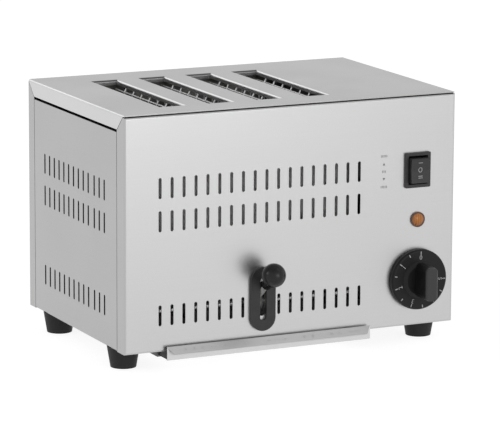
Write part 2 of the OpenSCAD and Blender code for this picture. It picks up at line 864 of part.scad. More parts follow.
// One arm on each end of the rock shaft, with the pin that lifts the rail
module lift_arms() {
    hub_r = shaft_d / 2 + 4;
    color(DARK_STEEL) casing() translate([chamber_x, shaft_back, shaft_z])
        for (side = [-1, 1]) mirror_side(side) {
            difference() {
                across(arm_x, arm_t) rotate(-arm_rest) arm_view(arm_r, hub_r, pin_d / 2 + 2.5, 8);
                translate([arm_x - 1, 0, 0]) rotate([0, 90, 0])
                    cylinder(h = arm_t + 2, d = shaft_d + 2 * fit_clear);
            }
            translate([arm_x, arm_r * cos(arm_rest), -arm_r * sin(arm_rest)]) rotate([0, 90, 0])
                cylinder(h = rail_x + strip_t + 2 - arm_x, d = pin_d);
        }
}

// Lever

module along_lever() {
    translate([lever_x, shaft_back, shaft_z]) rotate([90 - lever_angle(), 0, 0]) children();
}

// Steel rod with a hub on the rock shaft, its end in the ball
module lever_arm() {
    hub_wall = 4.5;
    color(BRIGHT) casing() difference() {
        union() {
            translate([lever_x - lever_hub_w / 2, shaft_back, shaft_z]) rotate([0, 90, 0])
                cylinder(h = lever_hub_w, d = shaft_d + 2 * hub_wall);
            along_lever() cylinder(h = lever_length(), d = lever_d);
        }
        translate([lever_x - lever_hub_w, shaft_back, shaft_z]) rotate([0, 90, 0])
            cylinder(h = 2 * lever_hub_w, d = shaft_d + 2 * fit_clear);
    }
}

// Ball with a neck that tapers toward the casing
module lever_ball() {
    start_wall = 1.8;
    end_wall = 3;
    neck = ball_r + ball_neck_l;
    color(BLACK) casing() along_lever() translate([0, 0, lever_length()]) difference() {
        union() {
            sphere(d = ball_d);
            translate([0, 0, -neck])
                cylinder(h = neck, d1 = lever_d + 2 * start_wall, d2 = lever_d + 2 * end_wall);
        }
        translate([0, 0, -neck - 1]) cylinder(h = neck + 1 + slide_clear, d = lever_d + 2 * fit_clear);
    }
}

module lever_plate() {
    color(GRAPHITE) casing() translate([lever_x, 0, lever_plate_z]) back_from(-lever_plate_t, lever_plate_t)
        difference() {
            obround(lever_plate_w, lever_plate_h);
            obround(lever_slot_w, lever_slot_h);
        }
}

// Controls

frame_t = 2.2;
switch_depth = 22;
pivot_back = 3;
pivot_d = 3;
rocker_v = 1.2;
rocker_back = 4;
pin_seat = 1;
frame_lap = 1.25;
function switch_body() = [switch_w, switch_h] - [2, 2] * frame_lap;
function switch_well() = [switch_w, switch_h] - [2, 2] * switch_border;

// Cylinder across the switch on the rocker's axis
module on_pivot(length, d) {
    translate([-length / 2, pivot_back, 0]) rotate([0, 90, 0]) cylinder(h = length, d = d);
}

// Frame and body of the switch, with the well that the rocker tilts in
module switch_housing() {
    well = switch_well();
    color(BLACK) casing() translate([switch_x, 0, switch_z]) difference() {
        union() {
            back_from(-frame_t, frame_t) round_rect(switch_w, switch_h, 1.2);
            back_from(-eps, switch_depth) square(switch_body(), center = true);
            for (z = [-8, 0, 8]) translate([-3, switch_depth - 1, z - 0.4]) cube([6, 9, 0.8]);
        }
        back_from(-frame_t - 1, frame_t + 1 + pivot_back) square(well, center = true);
        on_pivot(well[0], well[1]);
        on_pivot(well[0] + 2 * pin_seat, pivot_d + 2 * run_clear);
    }
}

// Rocker with a shallow hollow between its two ends, on two stub pins
module switch_rocker() {
    edge = 0.8;
    front = -frame_t - rocker_out;
    half = rocker_h / 2;
    color(BLACK) casing() translate([switch_x, 0, switch_z]) {
        across(-rocker_w / 2, rocker_w) polygon([
            [front + edge, -half],
            [front, edge - half],
            [front + rocker_v, 0],
            [front, half - edge],
            [front + edge, half],
            [pivot_back + rocker_back, half],
            [pivot_back + rocker_back, -half]
        ]);
        on_pivot(switch_well()[0] + 2 * (pin_seat - slide_clear), pivot_d);
    }
}

function lamp_body_d() = lamp_d - 4;
lens_flange = 1.4;

// Lens with a rim and a low dome
module lamp_lens() {
    dome_d = lamp_d - 3.2;
    dome_h = 1.6;
    dome_r = (dome_d * dome_d / 4 + dome_h * dome_h) / (2 * dome_h);
    color(AMBER) casing() translate([control_x, 0, lamp_z]) rotate([90, 0, 0]) {
        cylinder(h = lens_flange, d = lamp_d);
        intersection() {
            translate([0, 0, lens_flange + dome_h - dome_r]) sphere(r = dome_r);
            cylinder(h = lens_flange + dome_h, d = dome_d);
        }
    }
}

// Tube behind the lens, with its nut and two tags
module lamp_body() {
    length = 24;
    nut_h = 3;
    color(BLACK) casing() translate([control_x, 0, lamp_z]) rotate([-90, 0, 0]) {
        cylinder(h = length, d = lamp_body_d());
        translate([0, 0, sheet]) cylinder(h = nut_h, d = lamp_body_d() + 5, $fn = 6);
        for (x = [-2.5, 2.5]) translate([x - 0.4, -1.5, length - 1]) cube([0.8, 3, 8]);
    }
}

function timer_neck_d() = timer_shaft_d + 4;
neck_out = 3;
shaft_seat = 12;
knob_gap = 1;
knob_cap = 5;

// Clockwork timer: housing, mounting plate and the neck that its shaft turns in
module timer_body() {
    ear_w = 5;
    ear_r = 4;
    corner_r = 6;
    cap_h = 8;
    cap_inset = 4;
    cap_taper = 12;
    tag_x = 12;
    tag_w = 6;
    tag_t = 0.8;
    tag_h = 9;
    tag_back = 6;
    color(DARK_STEEL) casing() translate([control_x, 0, timer_z]) difference() {
        union() {
            back_from(sheet, plate_t) round_rect(timer_w + 2 * ear_w, timer_w, ear_r);
            back_from(sheet, timer_depth) round_rect(timer_w, timer_w, corner_r);
            translate([0, -neck_out, 0]) rotate([-90, 0, 0])
                cylinder(h = neck_out + 2 * sheet, d = timer_neck_d());
            translate([0, sheet + timer_depth - eps, 0]) rotate([-90, 0, 0])
                cylinder(h = cap_h, d1 = timer_w - cap_inset, d2 = timer_w - cap_inset - cap_taper);
            for (x = [-tag_x, tag_x])
                translate([x - tag_w / 2, sheet + timer_depth - tag_back, timer_w / 2 - eps])
                    cube([tag_w, tag_t, tag_h]);
        }
        translate([0, -neck_out - 1, 0]) rotate([-90, 0, 0])
            cylinder(h = neck_out + 1 + shaft_seat + slide_clear, d = timer_shaft_d + 2 * run_clear);
    }
}

module timer_shaft() {
    color(BRIGHT) casing() translate([control_x, shaft_seat, timer_z]) rotate([90, 0, 0])
        cylinder(h = shaft_seat + knob_gap + knob_h - knob_cap - slide_clear, d = timer_shaft_d);
}

// Knob: a skirt with a rounded shoulder, a low cone and a grip bar with round ends
module timer_knob() {
    r = knob_d / 2;
    shoulder = 2;
    cone_h = 2;
    cone_r = grip_l / 2 + 1;
    cone_taper = 3;
    grip_r = grip_l / 2;
    draft = 2;
    edge = 1;
    top_wall = 2;
    side_wall = 4;
    color(BLACK) casing() translate([control_x, -knob_gap, timer_z]) rotate([90, 0, 0]) difference() {
        union() {
            rotate_extrude() {
                square([r, skirt_h - shoulder]);
                square([r - shoulder, skirt_h]);
                translate([r - shoulder, skirt_h - shoulder]) intersection() {
                    circle(shoulder);
                    square(shoulder);
                }
            }
            translate([0, 0, skirt_h - eps]) cylinder(h = cone_h, r1 = cone_r, r2 = cone_r - cone_taper);
            intersection() {
                linear_extrude(knob_h) round_rect(grip_w, grip_l, grip_w / 2 - 0.5);
                cylinder(h = knob_h, r1 = grip_r + draft, r2 = grip_r - draft / 4);
                back_from(-grip_l / 2, grip_l) polygon([
                    [-grip_w / 2, 0],
                    [grip_w / 2, 0],
                    [grip_w / 2, knob_h - edge],
                    [grip_w / 2 - edge, knob_h],
                    [edge - grip_w / 2, knob_h],
                    [-grip_w / 2, knob_h - edge]
                ]);
            }
        }
        translate([0, 0, -1]) cylinder(h = skirt_h - top_wall + 1, r = r - side_wall);
        translate([0, 0, -1]) cylinder(h = knob_h - knob_cap + 1, d = timer_shaft_d + 2 * fit_clear);
    }
}

// Crumb tray

tray_side = 1;
tray_w = chamber_w - 2 * tray_side;
tray_back = rear_plate_in;
tray_floor = -tray_drop;
tray_wall_top = -slide_clear;

lip_out = lip_w * cos(lip_angle);
lip_fall = lip_w * sin(lip_angle);

// Side view of the tray's front wall and the lip folded forward and down from its top edge
module tray_front_view() {
    under = tray_t * [sin(lip_angle), -cos(lip_angle)];
    root = tray_front_h + under[1] - (tray_t + under[0]) * tan(lip_angle);
    polygon([
        [0, tray_floor],
        [tray_t, tray_floor],
        [tray_t, tray_front_h],
        [tray_t - lip_out, tray_front_h - lip_fall],
        [tray_t - lip_out + under[0], tray_front_h - lip_fall + under[1]],
        [0, root]
    ]);
}

// Front view of what is cut from the right end of the lip
module lip_corner(half_w) {
    chamfer = 5.5;
    fall = lip_fall + tray_t;
    polygon([
        [half_w, tray_front_h],
        [half_w + 1, tray_front_h],
        [half_w + 1, tray_front_h - fall - 1],
        [half_w - chamfer, tray_front_h - fall - 1],
        [half_w - chamfer, tray_front_h - fall]
    ]);
}

// Shallow tray with a tall front wall and a lip
module crumb_tray() {
    length = tray_back + tray_out;
    front_w = tray_w + 2 * tray_overhang;
    color(BRIGHT) casing() translate([tray_x, -tray_out, 0]) {
        difference() {
            translate([-tray_w / 2, 0, tray_floor]) cube([tray_w, length, tray_wall_top - tray_floor]);
            translate([-tray_w / 2 + tray_t, tray_t, tray_floor + tray_t])
                cube([tray_w - 2 * tray_t, length - 2 * tray_t, tray_drop]);
        }
        difference() {
            across(-front_w / 2, front_w) tray_front_view();
            for (side = [-1, 1]) mirror_side(side) back_from(-lip_out, lip_out) lip_corner(front_w / 2);
        }
    }
}

// Flanges of the runners, and the distance of their inner edges from the tray's middle
runner_reach = 8;
runner_in = tray_w / 2 + slide_clear - runner_reach;
runner_front = front_fold + 1;
runner_back = body_d - rear_fold - 1;

// Two channels under the base that the tray's floor slides in
module tray_runners() {
    floor = tray_floor - slide_clear;
    color(DARK_STEEL) casing() translate([tray_x, runner_front, 0])
        for (side = [-1, 1]) mirror_side(side)
            translate([tray_w / 2 + slide_clear, 0, 0]) {
                translate([0, 0, floor - plate_t])
                    cube([plate_t, runner_back - runner_front, base_z - floor + plate_t]);
                translate([-runner_reach, 0, floor - plate_t])
                    cube([runner_reach + eps, runner_back - runner_front, plate_t]);
                translate([-runner_reach, 0, 0])
                    cube([runner_reach + eps, runner_back - runner_front, base_z]);
            }
}

// Inlet

function gland_body_d() = gland_flange_d - 6;

module cord_gland() {
    inside = 12;
    color(BLACK) casing() translate([control_x, body_d, gland_z]) rotate([-90, 0, 0]) difference() {
        union() {
            cylinder(h = gland_flange_t, d1 = gland_flange_d, d2 = gland_flange_d - 4);
            translate([0, 0, -inside]) cylinder(h = inside + 1, d = gland_body_d());
            translate([0, 0, -sheet - 4]) cylinder(h = 4, d = gland_flange_d, $fn = 6);
        }
        translate([0, 0, -inside - 1]) cylinder(h = inside + gland_flange_t + 2, d = gland_bore);
    }
}

// Three-pole ceramic block on the base, near the inlet
module terminal_block() {
    pole = 12;
    poles = 3;
    depth = 18;
    height = 16;
    foot = 5;
    back = 60;
    groove = 1.5;
    bore_z = 9;
    bore_d = 4.5;
    well_d = 4;
    color(MICA) casing() translate([control_x - poles * pole / 2, body_d - back, base_top]) difference() {
        union() {
            cube([poles * pole, depth, foot]);
            for (i = [0 : poles - 1])
                translate([i * pole + groove / 2, 0, 0]) cube([pole - groove, depth, height]);
        }
        for (i = [0 : poles - 1]) translate([(i + 0.5) * pole, -1, bore_z]) rotate([-90, 0, 0])
            cylinder(h = depth + 2, d = bore_d);
        for (i = [0 : poles - 1], y = [depth / 4, depth * 3 / 4]) translate([(i + 0.5) * pole, y, bore_z])
            cylinder(h = height, d = well_d);
    }
}

front_panel();
rear_panel();
left_side_panel();
right_side_panel();
top_cover();
base_plate();
chamber_front_plate();
chamber_rear_plate();
left_heat_shield();
right_heat_shield();
for (i = [1 : heaters]) heater_board(i);
for (i = [1 : heaters]) heater_ribbon(i);
for (i = [1 : slots]) wire_guard(i, -1);
for (i = [1 : slots]) wire_guard(i, 1);
for (i = [1 : slots]) bread_rack(i);
lift_front_bar();
lift_rear_bar();
lift_left_rail();
lift_right_rail();
guide_rods();
rock_shaft();
shaft_bearings();
lift_arms();
lever_arm();
lever_ball();
lever_plate();
switch_housing();
switch_rocker();
lamp_body();
lamp_lens();
timer_body();
timer_shaft();
timer_knob();
crumb_tray();
tray_runners();
foot(-1, foot_setback);  // foot_front_left
foot(1, foot_setback);  // foot_front_right
foot(-1, body_d - foot_setback);  // foot_rear_left
foot(1, body_d - foot_setback);  // foot_rear_right
foot_screws();
casing_screws();
cord_gland();
terminal_block();
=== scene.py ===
"""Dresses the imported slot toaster: finishes, printed marks, stage, lights and camera."""

import math

import bmesh
import bpy
from bpy.props import FloatProperty, FloatVectorProperty, PointerProperty
from mathutils import Matrix, Vector


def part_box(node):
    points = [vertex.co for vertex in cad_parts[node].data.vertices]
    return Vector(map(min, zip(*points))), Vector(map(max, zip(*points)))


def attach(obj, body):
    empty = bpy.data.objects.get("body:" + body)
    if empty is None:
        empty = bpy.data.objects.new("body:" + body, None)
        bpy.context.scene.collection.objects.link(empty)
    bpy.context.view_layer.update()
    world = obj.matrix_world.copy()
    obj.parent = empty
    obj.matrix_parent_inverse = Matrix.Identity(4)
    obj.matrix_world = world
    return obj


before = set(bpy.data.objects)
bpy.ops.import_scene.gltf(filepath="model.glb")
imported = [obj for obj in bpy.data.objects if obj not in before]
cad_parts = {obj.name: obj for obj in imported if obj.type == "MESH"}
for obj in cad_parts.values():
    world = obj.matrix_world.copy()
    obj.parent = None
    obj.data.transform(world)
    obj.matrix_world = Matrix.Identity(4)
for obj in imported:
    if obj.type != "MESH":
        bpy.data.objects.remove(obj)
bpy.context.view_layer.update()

bl_info = {
    "name": "Slot Toaster Dresser",
    "version": (1, 0, 0),
    "blender": (4, 5, 0),
    "location": "3D View > Sidebar > Toaster",
    "description": "Gives a slot toaster its finishes, printed marks, stage, lights and camera",
    "category": "Object",
}

MM = 0.001

# Pieces that come in numbers or pairs
SLOTS = range(1, 5)
HEATERS = range(1, 6)
SIDES = ("left", "right")
ENDS = ("front", "rear")

# Brush lines: noise scale along a line, and across it on the casing and on the tray
ALONG_BRUSH = 9
ACROSS_BRUSH = 1500
ACROSS_TRAY_BRUSH = 900

# How much less dull the top cover is than the panels
COVER_SHINE = 0.04

# Values between which noise mostly lies
NOISE_LOW = 0.3
NOISE_HIGH = 0.7

# Product of a normal's two parts halfway round a bend
HALFWAY_BEND = 0.5

# Depths of the fine relief on the surfaces
BRUSH_DEPTH = 0.001 * MM
HANDLING_DEPTH = 0.008 * MM
MOULD_DEPTH = 0.01 * MM
POLISHED_DEPTH = 0.003 * MM
RUBBER_DEPTH = 0.02 * MM
FLUTE_DEPTH = 0.03 * MM
FLAKE_DEPTH = 0.03 * MM

# Heights over the front panel's lower edge where the chamber's front plate starts to darken with painted
# shade and is fully dark
SHADE_START = 75 * MM
SHADE_FULL = 50 * MM

# Distances behind the front of the knob's grip where painted light on the grip's front starts and is full
GRIP_LIGHT_START = 4 * MM
GRIP_LIGHT_FULL = 1 * MM

# Dial: its last numeral, how far numerals lie inside the ticks, and their height over their font's size
LAST_NUMERAL = 5
NUMERAL_INSET = 0.6
NUMERAL_SHARE = 0.7

# Rocker: heights of its bars and of its ring over its middle, and the ring's height over its width
ROCKER_BARS = (7.0 * MM, -4.6 * MM, -6.2 * MM)
ROCKER_RING = 0.8 * MM
RING_STRETCH = 1.15

# Rows of strokes beside the switch: height over the panel's lower edge, and number of strokes
STROKE_ROWS = ((150.5 * MM, 5), (137.1 * MM, 3), (123.8 * MM, 5))

# Arrowheads between those rows: height over the panel's lower edge, and 1 for up or -1 for down
ARROWS = ((143.5 * MM, 1), (130.6 * MM, -1))

# Places of the marks along the tray's lip, in millimetres to the right of the origin
TRAY_SPOTS = (-102, -94, -86, 9, 17, 35, 43)
TRAY_DASHES = (-76, -66, -59, -46, -24, -17, -10, 53, 59)

# Distance in front of a node from which marks are moved back onto it
DRAPE_START = 10 * MM

# Lamps: name, place and length of a side in metres, and power in watts
LAMPS = (
    ("key", (0.45, -2.1, 0.35), 0.9, 6),
    ("back", (-0.5, 2.1, 1.1), 1.0, 2.5),
    ("front_top", (0.75, -0.8, 1.55), 0.8, 1.0),
    ("left", (-1.9, 0.1, 0.85), 0.6, 3),
)
LAMP_TARGET = Vector((0, 0, 0.1))

# Upward parts of a direction at which the studio's walls end and its ceiling begins
WALL_END = 0.4
CEILING_START = 0.85

# Gap between the feet and the floor, so that their faces don't coincide
FLOOR_GAP = 0.2 * MM

# Camera: width of its sensor in millimetres, and the nearest and furthest that it sees in metres
SENSOR_WIDTH = 36
NEAREST = 0.05
FURTHEST = 50

# Turns a flat drawing (x right, y up, z out) to face the front of the toaster
FACING_FRONT = Matrix(((1, 0, 0, 0), (0, 0, -1, 0), (0, 1, 0, 0), (0, 0, 0, 1)))

# Turns an upright bar of a flat drawing to lie level
LEVEL = Matrix.Rotation(math.pi / 2, 4, "Z")


def grey(level):
    """A colour without a hue."""
    return (level, level, level)


def colour_property(name, description, default):
    """A colour that the panel shows as a swatch."""
    return FloatVectorProperty(
        name=name, description=description, default=default, size=3, min=0.0, max=1.0, subtype="COLOR"
    )


def length_property(name, description, millimetres):
    """A length in metres, given in millimetres."""
    return FloatProperty(
        name=name, description=description, default=millimetres * MM, min=0.0, unit="LENGTH"
    )


def angle_property(name, description, degrees):
    """An angle in radians, given in degrees."""
    return FloatProperty(
        name=name, description=description, default=math.radians(degrees), subtype="ANGLE"
    )


def factor_property(name, description, default):
    """A share from 0 to 1."""
    return FloatProperty(
        name=name, description=description, default=default, min=0.0, max=1.0, subtype="FACTOR"
    )


class ToasterFinishes(bpy.types.PropertyGroup):
    """Colours and gloss of the toaster's surfaces"""

    casing: colour_property("Casing", "Brushed stainless steel of the casing", grey(0.53))
    # Painted shade: a darker copy of the casing steel for the side panels and for the end panels' faces
    # that look along x
    side: colour_property("Casing sides", "Darker copy of the casing steel, as painted shade", grey(0.44))
    # Painted shade: a dark colour on the vents' edges, the cover's bends across y and the tray's sides
    cut: colour_property("Painted edge shade", "Vents' edges, cover's bends and tray's sides", grey(0.1))
    casing_roughness: factor_property("Casing roughness", "How dull the casing's steel is", 0.34)
    # Painted shade and sheen: the cover's top is a darker copy of the casing steel, and its folds, facing
    # along x, a paler copy
    cover: colour_property("Top cover", "Lengthwise brushed top of the cover", grey(0.4))
    fold: colour_property("Cover fold", "Lengthwise brushed side folds of the cover", grey(0.61))
    tray: colour_property("Crumb tray", "Polished steel of the crumb tray", grey(0.58))
    plated: colour_property("Chamber plate", "Dull plated sheet of the chamber's front", grey(0.95))
    heated: colour_property("Heated plate", "Chamber's rear plate, dulled by heat", (0.3, 0.29, 0.28))
    inner: colour_property("Inner steel", "Steel sheet inside the casing", grey(0.2))
    bright: colour_property("Bright steel", "Plated rods, racks, shafts and screws", (0.72, 0.72, 0.71))
    rod: colour_property("Lever rod", "Pale plated rod of the lever", (0.85, 0.85, 0.84))
    wire: colour_property("Guard wire", "Drawn wire of the bread guards", (0.92, 0.92, 0.91))
    ribbon: colour_property("Heating ribbon", "Ribbon on the heater boards", (0.12, 0.11, 0.1))
    mica: colour_property("Mica", "Pressed mica of the heater boards", (0.045, 0.04, 0.034))
    black: colour_property("Black plastic", "Switch and cord gland", grey(0.022))
    knob: colour_property("Knob", "Satin plastic of the timer knob", grey(0.008))
    # Painted light: a paler grey on the front of the knob's grip, where the light falls
    knob_lit: colour_property("Knob's grip", "Painted light on the front of the knob's grip", grey(0.07))
    plate: colour_property("Lever plate", "Dark grey plate round the lever", grey(0.04))
    ball: colour_property("Lever ball", "Polished plastic of the ball", grey(0.01))
    lamp_body: colour_property("Lamp holder", "Dark brown holder of the pilot lamp", (0.04, 0.02, 0.012))
    lens: colour_property("Lamp lens", "Amber middle of the pilot lamp", (0.75, 0.25, 0.02))
    lens_pale: colour_property("Lens flutes", "Paler ring round the lamp's middle", (0.64, 0.22, 0.04))
    lens_rim: colour_property("Lens rim", "Dark rim of the pilot lamp", (0.13, 0.05, 0.02))
    rubber: colour_property("Feet", "Rubber of the feet", grey(0.02))
    ceramic: colour_property("Terminal block", "Glazed ceramic of the terminal block", (0.7, 0.68, 0.62))
    ink: colour_property("White marks", "Print on the knob and the switch", grey(0.62))
    grey_ink: colour_property("Grey marks", "Print on the front panel", grey(0.3))
    tray_ink: colour_property("Tray marks", "Faint print on the tray's lip", grey(0.56))


class ToasterMarks(bpy.types.PropertyGroup):
    """Sizes of the printed marks"""

    proud: length_property("Ink height", "How far a mark stands out of its surface", 0.05)
    dial_radius: length_property("Dial radius", "Outer ends of the marks on the knob", 24.9)
    short_tick: length_property("Short tick", "Length of the dial's half marks", 2.6)
    long_tick: length_property("Long tick", "Length of the dial's full marks", 3.0)
    tick_width: length_property("Tick width", "Width of the dial's marks", 0.8)
    numeral: length_property("Numeral height", "Height of the dial's numerals", 3.8)
    dial_step: angle_property("Dial step", "Angle between neighbouring numerals", 54)
    dial_start: angle_property("Dial start", "Turn of the first numeral from the top, to the left", -2)
    rocker_bar: length_property("Rocker bar", "Length of the bars on the rocker", 4.2)
    rocker_ring: length_property("Rocker ring", "Half the width of the ring on the rocker", 1.9)
    rocker_line: length_property("Rocker line", "Width of the lines on the rocker", 0.5)
    panel_x: length_property("Panel marks", "Place of the front panel's marks, right of the origin", 86.5)
    stroke: length_property("Stroke", "Height of the strokes beside the switch", 2.3)
    stroke_width: length_property("Stroke width", "Width of the strokes beside the switch", 0.55)
    stroke_pitch: length_property("Stroke pitch", "Distance between neighbouring strokes", 1.3)
    arrow_half: length_property("Arrow half", "Half the width of an arrowhead", 1.2)
    arrow_base: length_property("Arrow base", "From an arrowhead's middle to its base", 1.0)
    arrow_tip: length_property("Arrow tip", "From an arrowhead's middle to its tip", 1.3)
    tray_drop: length_property("Tray marks", "How far the tray's marks lie below its upper edge", 3.0)
    spot: length_property("Spot", "Length of a spot on the tray's lip", 2.4)
    spot_width: length_property("Spot width", "Width of a spot on the tray's lip", 2.2)
    dash: length_property("Dash", "Length of a dash on the tray's lip", 4.0)
    dash_width: length_property("Dash width", "Width of a dash on the tray's lip", 0.7)


class ToasterStage(bpy.types.PropertyGroup):
    """Camera, light and floor"""

    lens: FloatProperty(
        name="Lens", description="Focal length in millimetres", default=245.3, subtype="DISTANCE_CAMERA"
    )
    azimuth: angle_property("Azimuth", "Camera's place round the toaster, 0 in front", -25.73)
    elevation: angle_property("Elevation", "Camera's angle above the floor", 11.6)
    roll: angle_property("Roll", "Camera's turn about its own axis", 0.31)
    distance: length_property("Distance", "From the camera to the point it looks at", 2973)
    target_y: length_property("Target depth", "The casing's middle behind the origin", 14.6)
    target_z: length_property("Target height", "Height of the point that the picture is laid out from", 102)
    shift_right: length_property("Target right", "How far right of that point the camera looks", 9.55)
    shift_down: length_property("Target down", "How far below that point the camera looks", 4.76)
    wall: factor_property("Walls", "How pale the studio's walls are", 0.95)
    ceiling: factor_property("Ceiling", "How pale the studio's ceiling is", 0.5)
    ambient: factor_property("Ambient", "Strength of the light on matt surfaces", 0.75)
    floor_size: length_property("Floor size", "Length of the floor's sides", 6000)
    floor_dark: factor_property("Floor's darker patches", "Grey of the floor's darker patches", 0.29)
    floor_pale: factor_property("Floor's paler patches", "Grey of the floor's paler patches", 0.31)
    floor_glow: factor_property("Floor glow", "White added to the floor where it is seen directly", 0.87)


# Materials


class Surface:
    """A material with one principled shader, and short ways to add nodes to it."""

    def __init__(self, name):
        self.material = bpy.data.materials.new(name)
        self.material.use_nodes = True
        self.tree = self.material.node_tree
        self.tree.nodes.clear()
        self.shader = self.add("ShaderNodeBsdfPrincipled")
        output = self.add("ShaderNodeOutputMaterial")
        self.join(self.shader.outputs["BSDF"], output.inputs["Surface"])

    def add(self, kind, **settings):
        """A new node with some of its settings."""
        node = self.tree.nodes.new(kind)
        for key, value in settings.items():
            setattr(node, key, value)
        return node

    def join(self, source, target):
        """Links an output to an input."""
        self.tree.links.new(source, target)

    def set(self, **values):
        """Sets the shader's own sockets: words in a socket's name are joined by underscores."""
        for key, value in values.items():
            self.shader.inputs[key.replace("_", " ")].default_value = value

    def place(self, scale, location=(0, 0, 0)):
        """Object coordinates, scaled along each axis."""
        coordinates = self.add("ShaderNodeTexCoord")
        mapping = self.add("ShaderNodeMapping")
        mapping.inputs["Scale"].default_value = scale
        mapping.inputs["Location"].default_value = location
        self.join(coordinates.outputs["Object"], mapping.inputs["Vector"])
        return mapping.outputs["Vector"]

    def noise(self, scale, detail, roughness=0.55):
        """Noise with a scale for each axis."""
        texture = self.add("ShaderNodeTexNoise")
        texture.inputs["Scale"].default_value = 1.0
        texture.inputs["Detail"].default_value = detail
        texture.inputs["Roughness"].default_value = roughness
        self.join(self.place(scale), texture.inputs["Vector"])
        return texture.outputs["Fac"]

    def clouds(self, scale, detail):
        """Noise of the same scale along every axis."""
        return self.noise((scale, scale, scale), detail)

    def normal_axes(self):
        """The parts of the surface's normal along x, y and z."""
        geometry = self.add("ShaderNodeNewGeometry")
        axes = self.add("ShaderNodeSeparateXYZ")
        self.join(geometry.outputs["Normal"], axes.inputs["Vector"])
        return axes.outputs

    def calculate(self, operation, *values):
        """The result of an operation on linked values."""
        node = self.add("ShaderNodeMath", operation=operation)
        for value, socket in zip(values, node.inputs):
            self.join(value, socket)
        return node.outputs[0]

    def ramp(self, factor, stops):
        """Colours by factor; stops are (position, colour) pairs in rising order."""
        node = self.add("ShaderNodeValToRGB")
        node.color_ramp.interpolation = "EASE"
        elements = node.color_ramp.elements
        for _ in range(len(stops) - len(elements)):
            elements.new(1.0)
        for element, (position, colour) in zip(elements, stops):
            element.position = position
            element.color = (*colour, 1.0)
        self.join(factor, node.inputs["Fac"])
        return node.outputs["Color"]

    def between(self, factor, low, high):
        """A number from low to high by factor, over noise's usual spread."""
        node = self.add("ShaderNodeMapRange", interpolation_type="SMOOTHSTEP")
        node.inputs["From Min"].default_value = NOISE_LOW
        node.inputs["From Max"].default_value = NOISE_HIGH
        node.inputs["To Min"].default_value = low
        node.inputs["To Max"].default_value = high
        self.join(factor, node.inputs["Value"])
        return node.outputs["Result"]

    def tint(self, factor, colour, spread):
        """Base colour that strays from colour by a share of spread each way."""
        low = [channel * (1 - spread) for channel in colour]
        high = [min(1.0, channel * (1 + spread)) for channel in colour]
        stops = ((NOISE_LOW, low), (NOISE_HIGH, high))
        self.join(self.ramp(factor, stops), self.shader.inputs["Base Color"])

    def tint_facing(self, axis, colour):
        """Another base colour where the surface faces along an axis: painted shade on most pieces, painted
        sheen on the cover's folds.
        """
        self.tint_by(self.calculate("ABSOLUTE", self.normal_axes()[axis]), colour)

    def tint_bends(self, colour):
        """Painted shade: another base colour on bends between level faces and faces that look along y."""
        axes = self.normal_axes()
        product = self.calculate("MULTIPLY", axes["Y"], axes["Z"])
        share = self.add("ShaderNodeMapRange")
        share.inputs["From Max"].default_value = HALFWAY_BEND
        self.join(self.calculate("ABSOLUTE", product), share.inputs["Value"])
        self.tint_by(share.outputs["Result"], colour)

    def tint_towards(self, axis, start, end, colour):
        """Another base colour, growing from start to end along an axis of the object."""
        coordinates = self.add("ShaderNodeTexCoord")
        axes = self.add("ShaderNodeSeparateXYZ")
        self.join(coordinates.outputs["Object"], axes.inputs["Vector"])
        share = self.add("ShaderNodeMapRange", interpolation_type="SMOOTHSTEP")
        share.inputs["From Min"].default_value = start
        share.inputs["From Max"].default_value = end
        self.join(axes.outputs[axis], share.inputs["Value"])
        self.tint_by(share.outputs["Result"], colour)

    def tint_by(self, share, colour):
        """Mixes a colour into the base colour by share."""
        mix = self.add("ShaderNodeMix", data_type="RGBA")
        self.join(share, mix.inputs["Factor"])
        base = self.shader.inputs["Base Color"]
        self.join(base.links[0].from_socket, mix.inputs["A"])
        mix.inputs["B"].default_value = (*colour, 1.0)
        self.join(mix.outputs["Result"], base)

    def rough(self, factor, middle, spread):
        """Roughness that strays from middle by spread each way."""
        self.join(self.between(factor, middle - spread, middle + spread), self.shader.inputs["Roughness"])

    def bump(self, factor, depth):
        """Fine relief of a depth in metres."""
        node = self.add("ShaderNodeBump")
        node.inputs["Strength"].default_value = 1.0
        node.inputs["Distance"].default_value = depth
        self.join(factor, node.inputs["Height"])
        self.join(node.outputs["Normal"], self.shader.inputs["Normal"])


def brushed_steel(name, colour, roughness, grain, other=None, bends=None):
    """Steel with fine brush lines; grain is the noise scale along x, y and z.

    other is an axis and the colour of the faces that look along it, which paints shade on most pieces and
    sheen on the cover's folds, and bends the colour of painted shade on bends across y.
    """
    surface = Surface(name)
    surface.set(Metallic=1.0)
    lines = surface.noise(grain, detail=6.0, roughness=0.7)
    clouds = surface.clouds(14, detail=2.0)
    surface.tint(lines, colour, spread=0.01)
    if other:
        surface.tint_facing(*other)
    if bends:
        surface.tint_bends(bends)
    surface.rough(clouds, roughness, spread=0.015)
    surface.bump(lines, BRUSH_DEPTH)
    return surface.material


def plain_metal(name, colour, roughness, spread=0.12, metallic=1.0, tinted=None):
    """Plated, drawn or rolled metal with faint clouds and handling marks; dull plating is less metallic.

    tinted is an axis, where along it another colour starts and is full, and that colour.
    """
    surface = Surface(name)
    surface.set(Metallic=metallic)
    clouds = surface.clouds(90, detail=5.0)
    surface.tint(clouds, colour, spread)
    if tinted:
        surface.tint_towards(*tinted)
    surface.rough(clouds, roughness, spread=0.06)
    surface.bump(surface.clouds(900, detail=3.0), HANDLING_DEPTH)
    return surface.material


def moulded_plastic(name, colour, roughness, gloss=0.5, grain=2600, depth=MOULD_DEPTH, painted_light=None):
    """Plastic with the fine grain of its mould; gloss is the shader's specular level.

    The last argument is an axis, where along it painted light starts and is full, and the lit colour.
    """
    surface = Surface(name)
    surface.set(Metallic=0.0, IOR=1.5, Specular_IOR_Level=gloss)
    clouds = surface.clouds(120, detail=3.0)
    surface.tint(clouds, colour, spread=0.15)
    if painted_light:
        surface.tint_towards(*painted_light)
    surface.rough(clouds, roughness, spread=0.05)
    surface.bump(surface.clouds(grain, detail=2.0), depth)
    return surface.material


